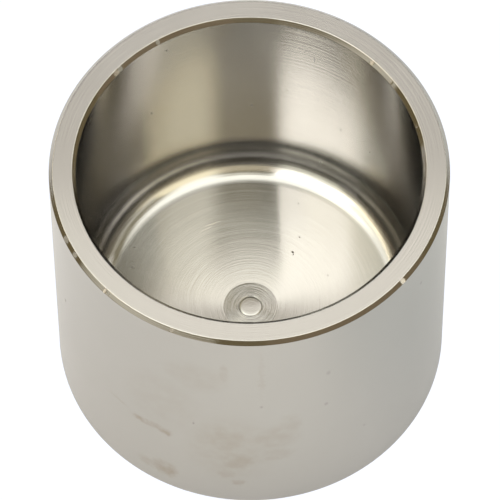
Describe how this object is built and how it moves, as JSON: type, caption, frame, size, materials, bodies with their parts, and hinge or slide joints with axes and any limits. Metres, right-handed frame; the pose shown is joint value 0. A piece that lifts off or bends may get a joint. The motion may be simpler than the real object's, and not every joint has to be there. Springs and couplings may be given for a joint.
{
  "type": "brake caliper piston",
  "caption": "Plain straight-sided cup, turned in one piece: a closed flat end, a deep smooth bore with a rounded corner, and a flat ring-shaped rim.",
  "frame": {"origin": "centre of the closed end's flat face, on the axis: the bottom centre of the part as it stands", "axes": "+Z along the piston's axis, from the closed end to the open mouth; the part is round, so X and Y are free"},
  "size_m": [0.0412, 0.0412, 0.035],
  "materials": {
    "steel": "fine-turned stainless steel, satin, with a ground outer wall"
  },
  "bodies": {
    "root": {"piston": "steel"}
  },
  "joints": []
}
